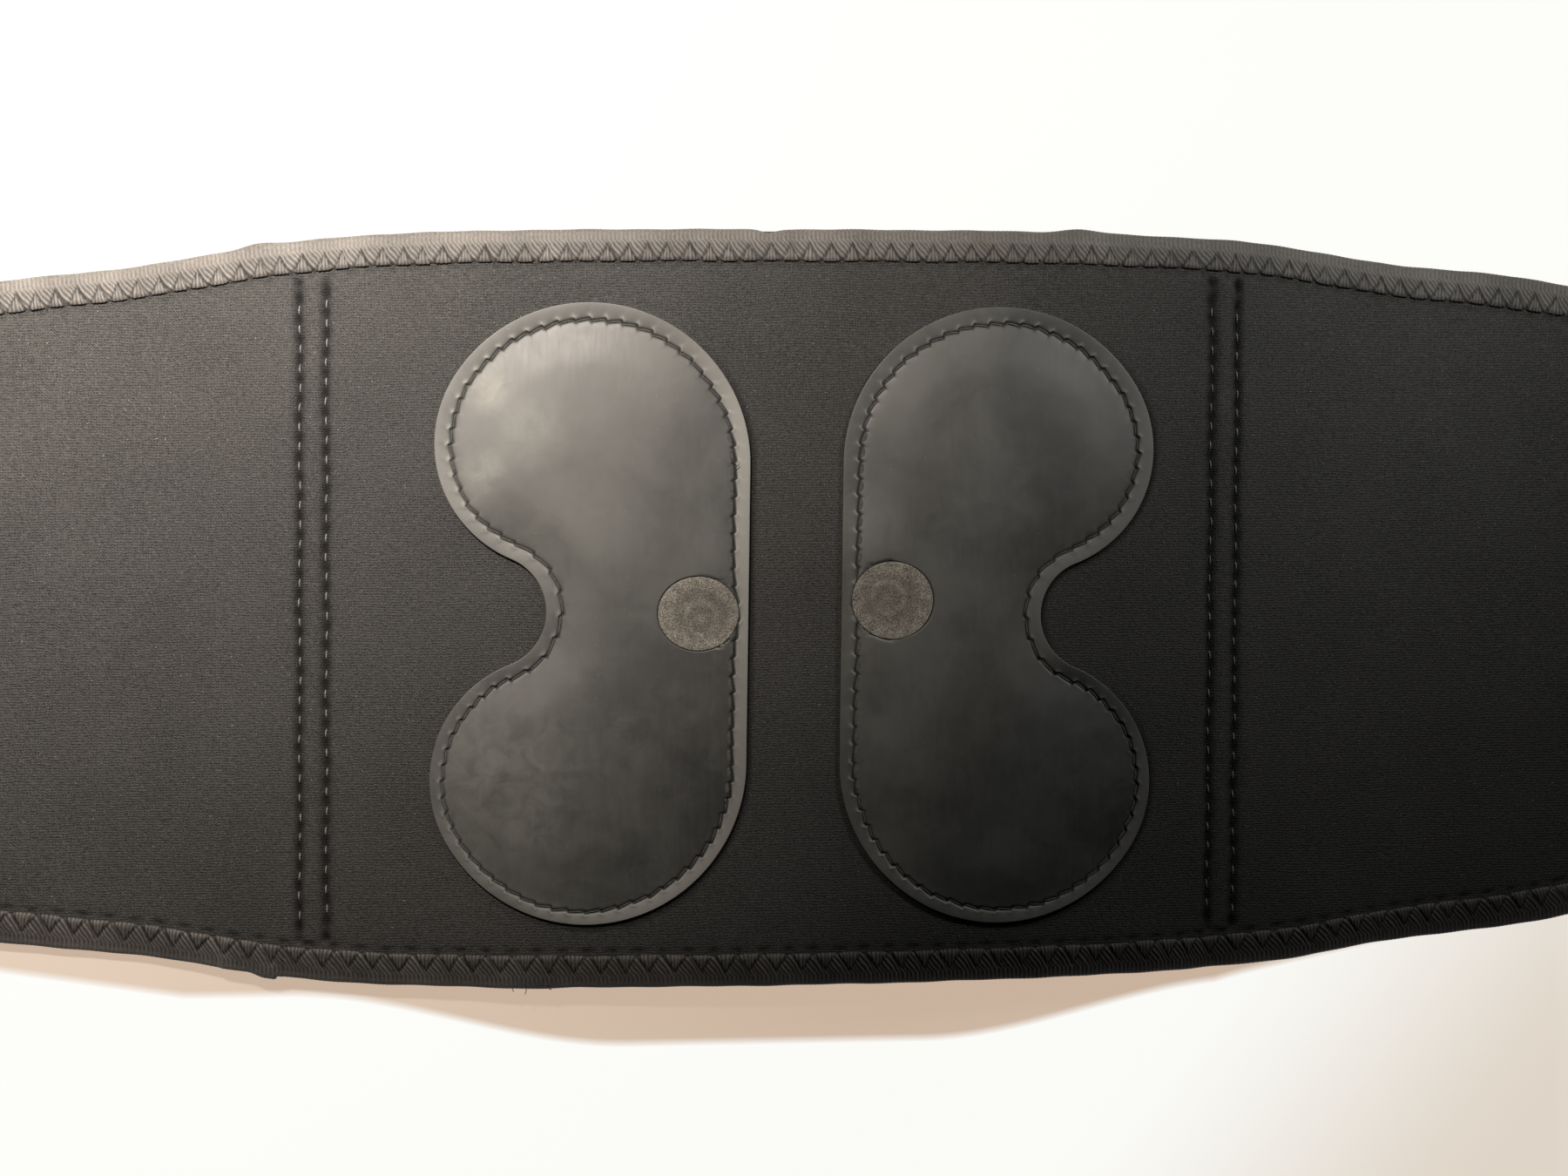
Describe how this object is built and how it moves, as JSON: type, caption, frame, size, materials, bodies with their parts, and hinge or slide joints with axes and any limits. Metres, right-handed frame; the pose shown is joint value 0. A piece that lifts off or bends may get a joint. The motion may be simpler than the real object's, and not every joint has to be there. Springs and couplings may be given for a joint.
{
  "type": "lumbar support belt",
  "caption": "Neoprene lumbar support belt lying open, skin side up, with sewn-in conductive rubber electrodes, snap studs, ribbed edge binding, stays and a hook-and-loop lap closure.",
  "frame": {"origin": "under the middle of the belt, on the surface it lies on, with the belt open and flat", "axes": "+X along the belt towards the loop end, +Y towards the upper edge, +Z out of the skin side"},
  "size_m": [1.074, 0.19, 0.0083],
  "materials": {
    "lining": "matte black warp-knit lining with a fine ribbed grid",
    "foam": "closed-cell black neoprene foam",
    "loop": "brushed black loop pile",
    "binding": "matte black cross-ribbed woven tape",
    "tape": "black woven tape",
    "electrode": "smooth satin carbon-filled rubber",
    "cover": "heathered grey-brown fleece",
    "steel": "bright nickel-plated",
    "spring_steel": "satin spring steel",
    "nylon": "natural nylon",
    "hook": "black moulded hook tape"
  },
  "bodies": {
    "lumbar_panel": {"lumbar_lining": "lining", "lumbar_core": "foam", "lumbar_outer_face": "loop", "lumbar_binding_top": "binding", "lumbar_binding_bottom": "binding", "electrode_left": "electrode", "snap_stud_left": "steel", "snap_eyelet_left": "steel", "snap_cover_left": "cover", "stay_channel_left": "tape", "stay_left": "spring_steel", "stay_cap_left_top": "nylon", "stay_cap_left_bottom": "nylon", "electrode_right": "electrode", "snap_stud_right": "steel", "snap_eyelet_right": "steel", "snap_cover_right": "cover", "stay_channel_right": "tape", "stay_right": "spring_steel", "stay_cap_right_top": "nylon", "stay_cap_right_bottom": "nylon"},
    "left_side_wing": {"left_side_lining": "lining", "left_side_core": "foam", "left_side_outer_face": "loop", "left_side_binding_top": "binding", "left_side_binding_bottom": "binding"},
    "right_side_wing": {"right_side_lining": "lining", "right_side_core": "foam", "right_side_outer_face": "loop", "right_side_binding_top": "binding", "right_side_binding_bottom": "binding"},
    "left_front_wing": {"left_front_lining": "lining", "left_front_core": "foam", "left_front_outer_face": "loop", "left_front_binding": "binding", "left_hook_patch": "hook"},
    "right_front_wing": {"right_front_lining": "lining", "right_front_core": "foam", "right_front_outer_face": "loop", "right_front_binding": "binding"}
  },
  "joints": [
    {"name": "left_side_flex", "type": "hinge", "parent": "lumbar_panel", "child": "left_side_wing", "pos_m": [-0.122, 0, 0.0067], "axis": [0, 1, 0], "range_deg": [0, 90]},
    {"name": "right_side_flex", "type": "hinge", "parent": "lumbar_panel", "child": "right_side_wing", "pos_m": [0.122, 0, 0.0067], "axis": [0, -1, 0], "range_deg": [0, 90]},
    {"name": "left_front_flex", "type": "hinge", "parent": "left_side_wing", "child": "left_front_wing", "pos_m": [-0.319, 0, 0.0067], "axis": [0, 1, 0], "range_deg": [0, 90]},
    {"name": "right_front_flex", "type": "hinge", "parent": "right_side_wing", "child": "right_front_wing", "pos_m": [0.312, 0, 0.0067], "axis": [0, -1, 0], "range_deg": [0, 90]}
  ]
}
